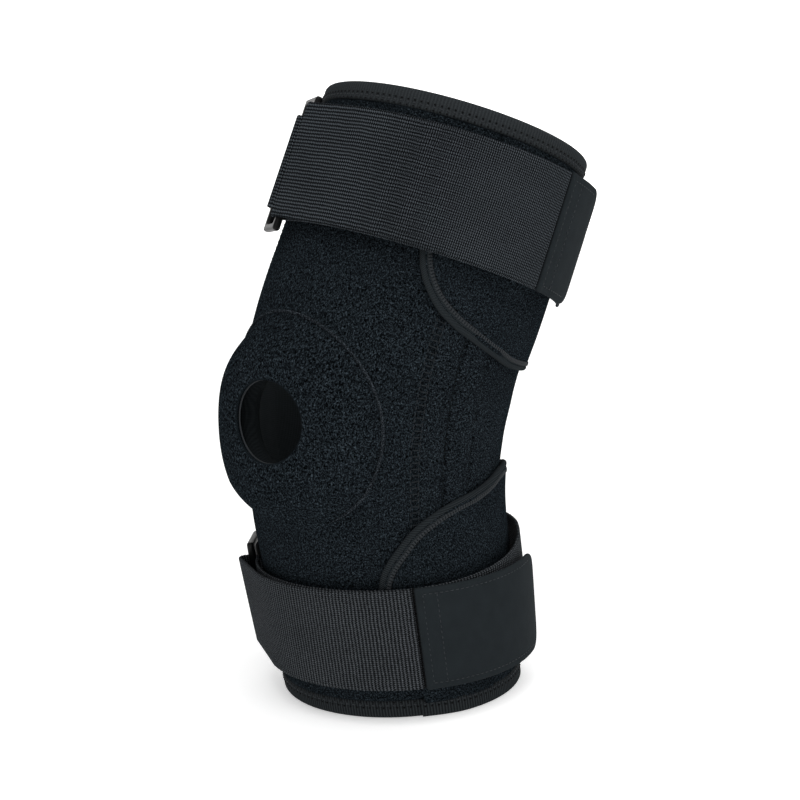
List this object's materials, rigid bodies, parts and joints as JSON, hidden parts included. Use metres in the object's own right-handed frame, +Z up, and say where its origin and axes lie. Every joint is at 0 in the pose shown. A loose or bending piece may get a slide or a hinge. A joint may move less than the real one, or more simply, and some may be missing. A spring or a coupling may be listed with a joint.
{
  "type": "knee brace",
  "caption": "Black wrap knee brace with an open kneecap, moulded front, side stays and two cinch straps, stored bent as if worn.",
  "frame": {"origin": "centre of the lower rim, on the plane that the brace stands on", "axes": "+Z up the calf, -Y towards the kneecap, +X towards the outer side of the leg where the straps fasten"},
  "size_m": [0.1508, 0.1847, 0.2928],
  "materials": {
    "ring_plastic": "glossy moulded black plastic",
    "elastic_webbing": "ribbed woven elastic, charcoal black",
    "hook_tab_fabric": "smooth matte fabric with hooks inside",
    "anchor_webbing": "flat woven webbing",
    "pocket_tape": "thin woven tape",
    "stay_steel": "flat spiral spring steel",
    "buttress_gel": "soft moulded rubber",
    "edge_binding": "folded twill tape with overlock stitches",
    "wing_velour": "brushed loop velour on neoprene",
    "side_velour": "brushed loop velour on neoprene",
    "front_velour": "brushed loop velour on neoprene"
  },
  "bodies": {
    "calf_section": {"bottom_rim_tape": "edge_binding", "calf_front_panel": "front_velour", "calf_lateral_panel": "side_velour", "calf_medial_panel": "side_velour", "calf_ring_anchor": "anchor_webbing", "calf_strap": "elastic_webbing", "knee_front_panel": "front_velour", "knee_lateral_panel": "side_velour", "knee_medial_panel": "side_velour", "lower_wing": "wing_velour", "lower_wing_edge_tape": "edge_binding", "lower_wing_rim_tape": "edge_binding", "patella_buttress": "buttress_gel", "stay_lateral_front": "stay_steel", "stay_lateral_rear": "stay_steel", "stay_medial_front": "stay_steel", "stay_medial_rear": "stay_steel", "stay_pocket_lateral": "pocket_tape", "stay_pocket_medial": "pocket_tape"},
    "thigh_section": {"thigh_front_panel": "front_velour", "thigh_lateral_panel": "side_velour", "thigh_medial_panel": "side_velour", "thigh_ring_anchor": "anchor_webbing", "thigh_strap": "elastic_webbing", "top_rim_tape": "edge_binding", "upper_wing": "wing_velour", "upper_wing_edge_tape": "edge_binding"},
    "thigh_tab": {"thigh_hook_tab": "hook_tab_fabric"},
    "calf_tab": {"calf_hook_tab": "hook_tab_fabric"},
    "thigh_ring": {"thigh_slide_ring": "ring_plastic"},
    "calf_ring": {"calf_slide_ring": "ring_plastic"}
  },
  "joints": [
    {"name": "knee_flexion", "type": "hinge", "parent": "calf_section", "child": "thigh_section", "pos_m": [0, -0.002, 0.148], "axis": [-1, 0, 0], "range_deg": [-22, 45], "stiffness_Nm_per_rad": 2, "deforming": ["knee_front_panel", "knee_lateral_panel", "knee_medial_panel", "patella_buttress", "stay_lateral_front", "stay_lateral_rear", "stay_medial_front", "stay_medial_rear", "stay_pocket_lateral", "stay_pocket_medial"]},
    {"name": "thigh_tab_peel", "type": "hinge", "parent": "thigh_section", "child": "thigh_tab", "pos_m": [0.08422, 0.02533, 0.2199], "axis": [-0.1242, -0.4186, -0.8996], "range_deg": [0, 75]},
    {"name": "calf_tab_peel", "type": "hinge", "parent": "calf_section", "child": "calf_tab", "pos_m": [0.05164, -0.04787, 0.04175], "axis": [0, 0.1219, -0.9925], "range_deg": [0, 75]},
    {"name": "thigh_ring_swivel", "type": "hinge", "parent": "thigh_section", "child": "thigh_ring", "pos_m": [-0.03288, -0.02176, 0.25527], "axis": [0.1242, 0.4186, 0.8996], "range_deg": [-2.5, 2.5]},
    {"name": "calf_ring_swivel", "type": "hinge", "parent": "calf_section", "child": "calf_ring", "pos_m": [-0.0585, -0.03064, 0.04175], "axis": [0, -0.1219, 0.9925], "range_deg": [-2.5, 2.5]}
  ]
}
